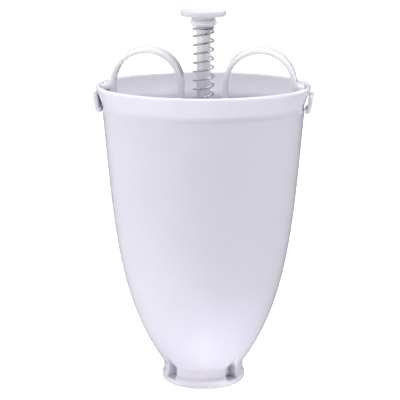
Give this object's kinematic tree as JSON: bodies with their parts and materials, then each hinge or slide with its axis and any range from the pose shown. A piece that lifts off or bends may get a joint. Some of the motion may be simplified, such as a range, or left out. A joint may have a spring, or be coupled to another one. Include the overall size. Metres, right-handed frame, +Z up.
{
  "type": "batter dispenser",
  "caption": "Hand-held ring-doughnut batter dispenser: bullet-shaped hopper with finger loops, thumb-pressed sprung rod and a valve plug in the nozzle.",
  "frame": {"origin": "centre of the nozzle's flat lower face, on the dispenser's axis", "axes": "+Z up along the axis towards the thumb knob, +X towards the right hanging hook, -Y the front"},
  "size_m": [0.1284, 0.125, 0.2213],
  "materials": {
    "white_plastic": "semi-gloss moulded polypropylene, very slightly translucent",
    "spring_steel": "bright drawn stainless wire and washer",
    "screw_steel": "plain stainless steel",
    "silicone": "matt translucent silicone"
  },
  "bodies": {
    "hopper_body": {"hopper": "white_plastic", "right_hanging_hook": "white_plastic", "left_hanging_hook": "white_plastic"},
    "bracket": {"finger_bracket": "white_plastic", "spring_washer": "spring_steel", "return_spring": "spring_steel"},
    "spring_cap": {"spring_collar": "white_plastic"},
    "plunger": {"push_rod": "white_plastic", "thumb_knob": "white_plastic", "valve_plug": "white_plastic", "valve_seal": "silicone", "valve_screw": "screw_steel"}
  },
  "joints": [
    {"name": "bracket_lift", "type": "slide", "parent": "hopper_body", "child": "bracket", "axis": [0, 0, 1], "range_m": [0, 0.18]},
    {"name": "knob_press", "type": "slide", "parent": "bracket", "child": "spring_cap", "axis": [0, 0, -1], "range_m": [0, 0.018], "stiffness_N_per_m": 300, "springref_m": -0.01, "deforming": ["return_spring"]},
    {"name": "plunger_turn", "type": "hinge", "parent": "spring_cap", "child": "plunger", "pos_m": [0, 0, 0.1], "axis": [0, 0, 1], "continuous": true}
  ]
}
